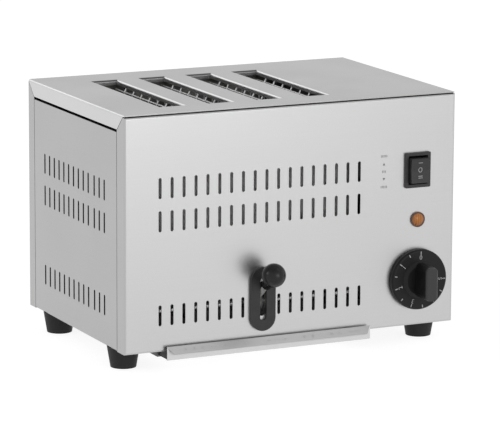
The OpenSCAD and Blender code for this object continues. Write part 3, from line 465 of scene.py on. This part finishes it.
def amber_glass(name, colour, pale, rim, centre, radius):
    """Tinted lens with upright flutes, paler round its middle and dark at its rim."""
    surface = Surface(name)
    surface.set(Metallic=0.0, Roughness=0.2, IOR=1.49, Coat_Weight=0.1, Coat_Roughness=0.1)
    flutes = surface.add("ShaderNodeTexWave", wave_type="BANDS", bands_direction="X")
    flutes.inputs["Scale"].default_value = 150
    flutes.inputs["Distortion"].default_value = 1.5
    surface.join(surface.place((1, 1, 1)), flutes.inputs["Vector"])
    place = surface.place((1 / radius, 0, 1 / radius), (-centre.x / radius, 0, -centre.z / radius))
    length = surface.add("ShaderNodeVectorMath", operation="LENGTH")
    surface.join(place, length.inputs[0])
    # From the middle, at 0, to the rim, at 1
    stops = ((0.0, colour), (0.3, colour), (0.55, pale), (0.74, pale), (0.86, rim), (1.0, rim))
    disc = surface.ramp(length.outputs["Value"], stops)
    mix = surface.add("ShaderNodeMix", data_type="RGBA", blend_type="MULTIPLY")
    mix.inputs["Factor"].default_value = 0.35
    surface.join(disc, mix.inputs["A"])
    surface.join(flutes.outputs["Color"], mix.inputs["B"])
    surface.join(mix.outputs["Result"], surface.shader.inputs["Base Color"])
    surface.bump(flutes.outputs["Fac"], FLUTE_DEPTH)
    return surface.material


def pressed_mica(name, colour):
    """Layered flakes, a little shiny."""
    surface = Surface(name)
    surface.set(Metallic=0.0, IOR=1.58)
    flakes = surface.add("ShaderNodeTexVoronoi")
    flakes.inputs["Scale"].default_value = 160
    surface.join(surface.place((1, 1, 1)), flakes.inputs["Vector"])
    surface.tint(surface.clouds(60, detail=6.0), colour, spread=0.35)
    surface.rough(flakes.outputs["Distance"], 0.5, spread=0.12)
    surface.bump(flakes.outputs["Distance"], FLAKE_DEPTH)
    return surface.material


def printed_ink(name, colour):
    """Ink that covers its ground a little unevenly."""
    surface = Surface(name)
    surface.set(Metallic=0.0, IOR=1.45)
    patches = surface.clouds(700, detail=2.0)
    surface.tint(patches, colour, spread=0.12)
    surface.rough(patches, 0.55, spread=0.08)
    return surface.material


def dress(node, material):
    """Gives a CAD node its material."""
    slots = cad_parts[node].data.materials
    slots.clear()
    slots.append(material)


# Printed marks


def add_piece(name, drawing, material, body):
    """Makes a piece from a drawing and lets it ride on a body."""
    mesh = bpy.data.meshes.new(name)
    bmesh.ops.recalc_face_normals(drawing, faces=drawing.faces)
    drawing.to_mesh(mesh)
    drawing.free()
    obj = bpy.data.objects.new(name, mesh)
    bpy.context.scene.collection.objects.link(obj)
    mesh.materials.append(material)
    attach(obj, body)


def facing_front(x, z):
    """Place of a flat drawing whose origin lies at x and z and which faces the toaster's front."""
    return Matrix.Translation((x, 0, z)) @ FACING_FRONT


def upwards(distance):
    """A move up in a flat drawing."""
    return Matrix.Translation((0, distance, 0))


def prism(drawing, outline, proud, place):
    """Adds a flat outline to a drawing, as a plate that stands proud on both sides of the flat."""
    bottom = [drawing.verts.new(place @ Vector((x, y, -proud))) for x, y in outline]
    top = [drawing.verts.new(place @ Vector((x, y, proud))) for x, y in outline]
    drawing.faces.new(bottom)
    drawing.faces.new(top)
    count = len(outline)
    for i in range(count):
        j = (i + 1) % count
        drawing.faces.new((bottom[i], bottom[j], top[j], top[i]))


def bar_outline(length, width, steps=6):
    """Outline of a bar along y with round ends, centred on the origin."""
    radius = width / 2
    half = length / 2 - radius
    turns = [math.pi * i / steps for i in range(steps + 1)]
    upper = [(radius * math.cos(t), half + radius * math.sin(t)) for t in turns]
    lower = [(-x, -y) for x, y in upper]
    return upper + lower


def ring(drawing, radius, width, proud, place, stretch=1.0, steps=32):
    """Adds an oval ring to a drawing; stretch is its height over its width."""
    loops = []
    for reach in (radius, radius - width):
        turns = [2 * math.pi * i / steps for i in range(steps)]
        flat = [(reach * math.cos(t), (reach + radius * (stretch - 1)) * math.sin(t)) for t in turns]
        for height in (-proud, proud):
            loops.append([drawing.verts.new(place @ Vector((x, y, height))) for x, y in flat])
    order = (0, 1, 3, 2)
    for a, b in zip(order, order[1:] + order[:1]):
        for i in range(steps):
            j = (i + 1) % steps
            drawing.faces.new((loops[a][i], loops[a][j], loops[b][j], loops[b][i]))


def numeral(drawing, text, height, proud, place):
    """Adds a numeral, centred on the origin, to a drawing."""
    curve = bpy.data.curves.new("numeral", "FONT")
    curve.body = text
    curve.size = height / NUMERAL_SHARE
    curve.align_x = "CENTER"
    curve.resolution_u = 4
    holder = bpy.data.objects.new("numeral", curve)
    mesh = bpy.data.meshes.new_from_object(holder)
    flat = bmesh.new()
    flat.from_mesh(mesh)
    bmesh.ops.remove_doubles(flat, verts=flat.verts, dist=1e-7)
    raised = bmesh.ops.extrude_face_region(flat, geom=list(flat.faces))
    lifted = {item for item in raised["geom"] if isinstance(item, bmesh.types.BMVert)}
    for vert in flat.verts:
        vert.co.z = proud if vert in lifted else -proud
        vert.co.y -= height / 2
    bmesh.ops.transform(flat, matrix=place, verts=flat.verts)
    flat.to_mesh(mesh)
    flat.free()
    drawing.from_mesh(mesh)
    bpy.data.objects.remove(holder)
    bpy.data.curves.remove(curve)
    bpy.data.meshes.remove(mesh)


def drape(drawing, node):
    """Moves a drawing's points straight back until their y counts from the face of a node."""
    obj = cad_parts[node]
    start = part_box(node)[0].y - DRAPE_START
    for vert in drawing.verts:
        hit, place, _, _ = obj.ray_cast(Vector((vert.co.x, start, vert.co.z)), Vector((0, 1, 0)))
        if not hit:
            raise RuntimeError(f"a mark lies outside {node}")
        vert.co.y += place.y


def middle(node):
    """Middle of a node's box."""
    low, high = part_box(node)
    return (low + high) / 2


# Steps of the dressing


class TOASTER_OT_casing(bpy.types.Operator):
    """Brushed steel for the casing's folded panels and cover"""

    bl_idname = "toaster.casing"
    bl_label = "Casing"

    def execute(self, context):
        finish = context.scene.toaster_finishes
        dull = finish.casing_roughness
        level = (ALONG_BRUSH, ALONG_BRUSH, ACROSS_BRUSH)
        # End panels: faces looking along x take the side panels' darker steel, as painted shade
        panel = brushed_steel("panel_steel", finish.casing, dull, level, ("X", finish.side))
        # Side panels: faces looking along y, such as the vents' edges, get painted shade
        side = brushed_steel("side_steel", finish.side, dull, level, ("Y", finish.cut))
        along = (ALONG_BRUSH, ACROSS_BRUSH, ALONG_BRUSH)
        # The cover's top takes a darker copy of the casing steel as painted shade, and its folds along x a
        # paler copy as painted sheen
        folds = ("X", finish.fold)
        cover = brushed_steel("cover_steel", finish.cover, dull - COVER_SHINE, along, folds, finish.cut)
        for end in ENDS:
            dress(f"{end}_panel", panel)
        for hand in SIDES:
            dress(f"{hand}_side_panel", side)
        dress("top_cover", cover)
        dress("casing_screws", plain_metal("screw_steel", finish.bright, roughness=0.3))
        return {"FINISHED"}


class TOASTER_OT_chamber(bpy.types.Operator):
    """Steel, mica, ribbon and wire of the toasting chamber"""

    bl_idname = "toaster.chamber"
    bl_label = "Toasting chamber"

    def execute(self, context):
        finish = context.scene.toaster_finishes
        sheet = plain_metal("inner_sheet", finish.inner, roughness=0.5)
        for node in ("base_plate", "tray_runners"):
            dress(node, sheet)
        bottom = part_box("front_panel")[0].z
        # Painted shade: the chamber's front plate turns dark towards its bottom, where the lower vents lie
        # in shade
        painted_shade = ("Z", bottom + SHADE_START, bottom + SHADE_FULL, finish.inner)
        plate = plain_metal(
            "chamber_plate", finish.plated, roughness=0.6, spread=0.03, metallic=0.0, tinted=painted_shade
        )
        dress("chamber_front_plate", plate)
        heated = plain_metal("heated_plate", finish.heated, roughness=0.5, metallic=0.5)
        dress("chamber_rear_plate", heated)
        dress("terminal_block", moulded_plastic("glazed_ceramic", finish.ceramic, roughness=0.25))
        mica = pressed_mica("mica_sheet", finish.mica)
        ribbon = plain_metal("heating_ribbon", finish.ribbon, roughness=0.5)
        wire = plain_metal("guard_wire", finish.wire, roughness=0.3, metallic=0.3)
        for side in SIDES:
            dress(f"{side}_heat_shield", sheet)
        for i in HEATERS:
            dress(f"heater_board_{i}", mica)
            dress(f"heater_ribbon_{i}", ribbon)
        for i in SLOTS:
            for side in SIDES:
                dress(f"wire_guard_{side}_{i}", wire)
        return {"FINISHED"}


class TOASTER_OT_bread_lift(bpy.types.Operator):
    """Racks, bars, rails, rods and shaft of the bread lift"""

    bl_idname = "toaster.bread_lift"
    bl_label = "Bread lift"

    def execute(self, context):
        finish = context.scene.toaster_finishes
        strip = plain_metal("lift_strip", finish.inner, roughness=0.45)
        bright = plain_metal("lift_bright", finish.bright, roughness=0.25)
        for end in ENDS:
            dress(f"lift_{end}_bar", strip)
        for side in SIDES:
            dress(f"lift_{side}_rail", strip)
        for node in ("lift_arms", "shaft_bearings"):
            dress(node, strip)
        for i in SLOTS:
            dress(f"bread_rack_{i}", bright)
        dress("guide_rods", bright)
        dress("rock_shaft", plain_metal("ground_shaft", finish.bright, roughness=0.35))
        return {"FINISHED"}


class TOASTER_OT_lever(bpy.types.Operator):
    """Lever rod, ball and cover plate"""

    bl_idname = "toaster.lever"
    bl_label = "Lever"

    def execute(self, context):
        finish = context.scene.toaster_finishes
        rod = plain_metal("lever_steel", finish.rod, roughness=0.2, metallic=0.1)
        ball = moulded_plastic(
            "ball_plastic", finish.ball, roughness=0.26, gloss=0.32, depth=POLISHED_DEPTH
        )
        dress("lever_arm", rod)
        dress("lever_ball", ball)
        dress("lever_plate", moulded_plastic("plate_plastic", finish.plate, roughness=0.5, gloss=0.35))
        return {"FINISHED"}


class TOASTER_OT_controls(bpy.types.Operator):
    """Switch, pilot lamp, timer and cord gland"""

    bl_idname = "toaster.controls"
    bl_label = "Controls"

    def execute(self, context):
        finish = context.scene.toaster_finishes
        black = moulded_plastic("black_plastic", finish.black, roughness=0.45)
        for node in ("switch_housing", "switch_rocker", "cord_gland"):
            dress(node, black)
        dress("lamp_body", moulded_plastic("lamp_plastic", finish.lamp_body, roughness=0.45, gloss=0.3))
        low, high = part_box("lamp_lens")
        radius = (high.x - low.x) / 2
        tones = (finish.lens, finish.lens_pale, finish.lens_rim)
        dress("lamp_lens", amber_glass("amber_lens", *tones, middle("lamp_lens"), radius))
        dress("timer_body", plain_metal("timer_sheet", finish.inner, roughness=0.45))
        dress("timer_shaft", plain_metal("timer_steel", finish.bright, roughness=0.25))
        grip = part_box("timer_knob")[0].y
        # Painted light on the front of the knob's grip
        painted_light = ("Y", grip + GRIP_LIGHT_START, grip + GRIP_LIGHT_FULL, finish.knob_lit)
        knob = moulded_plastic("knob_plastic", finish.knob, roughness=0.45, gloss=0.25, painted_light=painted_light)
        dress("timer_knob", knob)
        return {"FINISHED"}


class TOASTER_OT_tray(bpy.types.Operator):
    """Polished crumb tray"""

    bl_idname = "toaster.tray"
    bl_label = "Crumb tray"

    def execute(self, context):
        finish = context.scene.toaster_finishes
        grain = (ALONG_BRUSH, ACROSS_TRAY_BRUSH, ACROSS_TRAY_BRUSH)
        # The tray's sides, facing along x, get painted shade
        sides = ("X", finish.cut)
        steel = brushed_steel("tray_steel", finish.tray, roughness=0.42, grain=grain, other=sides)
        dress("crumb_tray", steel)
        return {"FINISHED"}


class TOASTER_OT_feet(bpy.types.Operator):
    """Rubber feet and their screws"""

    bl_idname = "toaster.feet"
    bl_label = "Feet"

    def execute(self, context):
        finish = context.scene.toaster_finishes
        rubber = moulded_plastic(
            "foot_rubber", finish.rubber, roughness=0.6, gloss=0.3, grain=1800, depth=RUBBER_DEPTH
        )
        for end in ENDS:
            for side in SIDES:
                dress(f"foot_{end}_{side}", rubber)
        dress("foot_screws", plain_metal("foot_screw_steel", finish.bright, roughness=0.35))
        return {"FINISHED"}


class TOASTER_OT_dial_marks(bpy.types.Operator):
    """White ticks and numerals on the timer knob"""

    bl_idname = "toaster.dial_marks"
    bl_label = "Dial marks"

    def execute(self, context):
        marks = context.scene.toaster_marks
        finish = context.scene.toaster_finishes
        centre = middle("timer_knob")
        drawing = bmesh.new()
        for half_step in range(2 * LAST_NUMERAL + 1):
            turn = Matrix.Rotation(marks.dial_start + half_step * marks.dial_step / 2, 4, "Z")
            flat = facing_front(centre.x, centre.z) @ turn
            full = half_step % 2 == 0
            tick = marks.long_tick if full else marks.short_tick
            outline = bar_outline(tick, marks.tick_width)
            prism(drawing, outline, marks.proud, flat @ upwards(marks.dial_radius - tick / 2))
            if full:
                place = flat @ upwards(marks.dial_radius - tick - marks.numeral * NUMERAL_INSET)
                numeral(drawing, str(half_step // 2), marks.numeral, marks.proud, place)
        drape(drawing, "timer_knob")
        add_piece("dial_marks", drawing, printed_ink("white_ink", finish.ink), "timer_dial")
        return {"FINISHED"}


class TOASTER_OT_switch_marks(bpy.types.Operator):
    """Bar, ring and double bar on the rocker"""

    bl_idname = "toaster.switch_marks"
    bl_label = "Switch marks"

    def execute(self, context):
        marks = context.scene.toaster_marks
        finish = context.scene.toaster_finishes
        centre = middle("switch_rocker")
        flat = facing_front(centre.x, centre.z)
        drawing = bmesh.new()
        outline = bar_outline(marks.rocker_bar, marks.rocker_line)
        for height in ROCKER_BARS:
            prism(drawing, outline, marks.proud, flat @ upwards(height) @ LEVEL)
        place = flat @ upwards(ROCKER_RING)
        ring(drawing, marks.rocker_ring, marks.rocker_line, marks.proud, place, RING_STRETCH)
        drape(drawing, "switch_rocker")
        add_piece("switch_marks", drawing, printed_ink("switch_ink", finish.ink), "rocker")
        return {"FINISHED"}


class TOASTER_OT_panel_marks(bpy.types.Operator):
    """Grey strokes and arrowheads on the front panel beside the switch"""

    bl_idname = "toaster.panel_marks"
    bl_label = "Panel marks"

    def execute(self, context):
        marks = context.scene.toaster_marks
        finish = context.scene.toaster_finishes
        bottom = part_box("front_panel")[0].z
        drawing = bmesh.new()
        stroke = bar_outline(marks.stroke, marks.stroke_width)
        for height, count in STROKE_ROWS:
            for i in range(count):
                across = marks.panel_x + (i - (count - 1) / 2) * marks.stroke_pitch
                prism(drawing, stroke, marks.proud, facing_front(across, bottom + height))
        for height, up in ARROWS:
            base = -marks.arrow_base * up
            arrow = ((-marks.arrow_half, base), (marks.arrow_half, base), (0, marks.arrow_tip * up))
            prism(drawing, arrow, marks.proud, facing_front(marks.panel_x, bottom + height))
        drape(drawing, "front_panel")
        ink = printed_ink("grey_ink", finish.grey_ink)
        add_piece("panel_marks", drawing, ink, "casing")
        return {"FINISHED"}


class TOASTER_OT_tray_marks(bpy.types.Operator):
    """Faint spots and dashes on the lip of the crumb tray"""

    bl_idname = "toaster.tray_marks"
    bl_label = "Tray marks"

    def execute(self, context):
        marks = context.scene.toaster_marks
        finish = context.scene.toaster_finishes
        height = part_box("crumb_tray")[1].z - marks.tray_drop
        drawing = bmesh.new()
        spot = bar_outline(marks.spot, marks.spot_width)
        dash = bar_outline(marks.dash, marks.dash_width)
        for outline, places in ((spot, TRAY_SPOTS), (dash, TRAY_DASHES)):
            for place in places:
                prism(drawing, outline, marks.proud, facing_front(place * MM, height) @ LEVEL)
        drape(drawing, "crumb_tray")
        add_piece("tray_marks", drawing, printed_ink("tray_ink", finish.tray_ink), "tray")
        return {"FINISHED"}


# Stage


def area_light(name, place, size, power):
    """A soft square lamp that points at the toaster."""
    data = bpy.data.lights.new(name, "AREA")
    data.shape = "SQUARE"
    data.size = size
    data.energy = power
    obj = bpy.data.objects.new(name, data)
    obj.location = place
    obj.rotation_mode = "QUATERNION"
    obj.rotation_quaternion = (LAMP_TARGET - Vector(place)).to_track_quat("-Z", "Y")
    bpy.context.scene.collection.objects.link(obj)


def seen_directly(tree):
    """1 for rays from the camera, a reflection or a clear piece, and 0 for diffuse light."""
    path = tree.nodes.new("ShaderNodeLightPath")
    total = path.outputs["Is Camera Ray"]
    for name in ("Is Glossy Ray", "Is Transmission Ray"):
        larger = tree.nodes.new("ShaderNodeMath")
        larger.operation = "MAXIMUM"
        tree.links.new(total, larger.inputs[0])
        tree.links.new(path.outputs[name], larger.inputs[1])
        total = larger.outputs[0]
    return total


def build_world(stage):
    """Pale walls under a darker ceiling, and a softer light of the same kind for matt surfaces."""
    world = bpy.data.worlds.new("studio")
    bpy.context.scene.world = world
    world.use_nodes = True
    tree = world.node_tree
    background = tree.nodes["Background"]
    direction = tree.nodes.new("ShaderNodeTexCoord")
    axes = tree.nodes.new("ShaderNodeSeparateXYZ")
    tree.links.new(direction.outputs["Generated"], axes.inputs["Vector"])
    shade = tree.nodes.new("ShaderNodeValToRGB")
    elements = shade.color_ramp.elements
    elements.new(0.5)
    stops = ((0.0, stage.wall), (WALL_END, stage.wall), (CEILING_START, stage.ceiling))
    for element, (height, level) in zip(elements, stops):
        element.position = height
        element.color = (*grey(level), 1)
    tree.links.new(axes.outputs["Z"], shade.inputs["Fac"])
    tree.links.new(shade.outputs["Color"], background.inputs["Color"])
    strength = tree.nodes.new("ShaderNodeMapRange")
    strength.inputs["To Min"].default_value = stage.ambient
    strength.inputs["To Max"].default_value = 1.0
    tree.links.new(seen_directly(tree), strength.inputs["Value"])
    tree.links.new(strength.outputs["Result"], background.inputs["Strength"])


def floor_material(stage):
    """Grey that takes the toaster's shadow, with white added where the floor is seen directly."""
    material = bpy.data.materials.new("pale_floor")
    material.use_nodes = True
    tree = material.node_tree
    tree.nodes.clear()
    diffuse = tree.nodes.new("ShaderNodeBsdfDiffuse")
    grain = tree.nodes.new("ShaderNodeTexNoise")
    grain.inputs["Scale"].default_value = 3.0
    ramp = tree.nodes.new("ShaderNodeValToRGB")
    for element, level in zip(ramp.color_ramp.elements, (stage.floor_dark, stage.floor_pale)):
        element.color = (*grey(level), 1)
    tree.links.new(grain.outputs["Fac"], ramp.inputs["Fac"])
    tree.links.new(ramp.outputs["Color"], diffuse.inputs["Color"])
    glow = tree.nodes.new("ShaderNodeEmission")
    strength = tree.nodes.new("ShaderNodeMath")
    strength.operation = "MULTIPLY"
    strength.inputs[1].default_value = stage.floor_glow
    tree.links.new(seen_directly(tree), strength.inputs[0])
    tree.links.new(strength.outputs[0], glow.inputs["Strength"])
    both = tree.nodes.new("ShaderNodeAddShader")
    tree.links.new(diffuse.outputs[0], both.inputs[0])
    tree.links.new(glow.outputs[0], both.inputs[1])
    output = tree.nodes.new("ShaderNodeOutputMaterial")
    tree.links.new(both.outputs[0], output.inputs["Surface"])
    return material


def build_floor(stage):
    """Pale floor that stays near white and keeps the toaster's shadow."""
    half = stage.floor_size / 2
    drawing = bmesh.new()
    corners = ((-half, -half), (half, -half), (half, half), (-half, half))
    drawing.faces.new([drawing.verts.new((x, y, -FLOOR_GAP)) for x, y in corners])
    mesh = bpy.data.meshes.new("floor")
    drawing.to_mesh(mesh)
    drawing.free()
    floor = bpy.data.objects.new("floor", mesh)
    bpy.context.scene.collection.objects.link(floor)
    mesh.materials.append(floor_material(stage))


def build_camera(stage):
    """Camera at the photograph's angle."""
    a, e = stage.azimuth, stage.elevation
    back = Vector((math.sin(a) * math.cos(e), -math.cos(a) * math.cos(e), math.sin(e)))
    level = Vector((math.cos(a), math.sin(a), 0))
    upright = back.cross(level)
    right = math.cos(stage.roll) * level + math.sin(stage.roll) * upright
    up = -math.sin(stage.roll) * level + math.cos(stage.roll) * upright
    target = Vector((0, stage.target_y, stage.target_z)) + right * stage.shift_right - up * stage.shift_down
    data = bpy.data.cameras.new("camera")
    data.lens = stage.lens
    data.sensor_width = SENSOR_WIDTH
    data.clip_start = NEAREST
    data.clip_end = FURTHEST
    camera = bpy.data.objects.new("camera", data)
    bpy.context.scene.collection.objects.link(camera)
    place = target + back * stage.distance
    camera.matrix_world = Matrix.Translation(place) @ Matrix((right, up, back)).transposed().to_4x4()
    bpy.context.scene.camera = camera


class TOASTER_OT_stage(bpy.types.Operator):
    """Floor, even light, soft lamps and the camera"""

    bl_idname = "toaster.stage"
    bl_label = "Stage"

    def execute(self, context):
        stage = context.scene.toaster_stage
        build_world(stage)
        build_floor(stage)
        for lamp in LAMPS:
            area_light(*lamp)
        build_camera(stage)
        context.scene.view_settings.view_transform = "Standard"
        return {"FINISHED"}


# Add-on


GROUPS = {
    "toaster_finishes": ToasterFinishes,
    "toaster_marks": ToasterMarks,
    "toaster_stage": ToasterStage,
}

OPERATORS = (
    TOASTER_OT_casing,
    TOASTER_OT_chamber,
    TOASTER_OT_bread_lift,
    TOASTER_OT_lever,
    TOASTER_OT_controls,
    TOASTER_OT_tray,
    TOASTER_OT_feet,
    TOASTER_OT_dial_marks,
    TOASTER_OT_switch_marks,
    TOASTER_OT_panel_marks,
    TOASTER_OT_tray_marks,
    TOASTER_OT_stage,
)


class TOASTER_PT_sidebar(bpy.types.Panel):
    """Lists the steps that dress the toaster, with its sizes and colours"""

    bl_idname = "TOASTER_PT_sidebar"
    bl_label = "Toaster"
    bl_space_type = "VIEW_3D"
    bl_region_type = "UI"
    bl_category = "Toaster"

    def draw(self, context):
        column = self.layout.column(align=True)
        for operator in OPERATORS:
            column.operator(operator.bl_idname)
        for name, kind in GROUPS.items():
            box = self.layout.box()
            for setting in kind.__annotations__:
                box.prop(getattr(context.scene, name), setting)


CLASSES = (*GROUPS.values(), *OPERATORS, TOASTER_PT_sidebar)


def register():
    """Registers the classes and gives each scene its settings."""
    for cls in CLASSES:
        bpy.utils.register_class(cls)
    for name, group in GROUPS.items():
        setattr(bpy.types.Scene, name, PointerProperty(type=group))


def unregister():
    """Takes back what register did."""
    for name in GROUPS:
        delattr(bpy.types.Scene, name)
    for cls in reversed(CLASSES):
        bpy.utils.unregister_class(cls)


def main():
    """Dresses the toaster step by step."""
    register()
    for operator in OPERATORS:
        group, name = operator.bl_idname.split(".")
        getattr(getattr(bpy.ops, group), name)()
    bpy.context.view_layer.update()


if __name__ == "__main__":
    main()
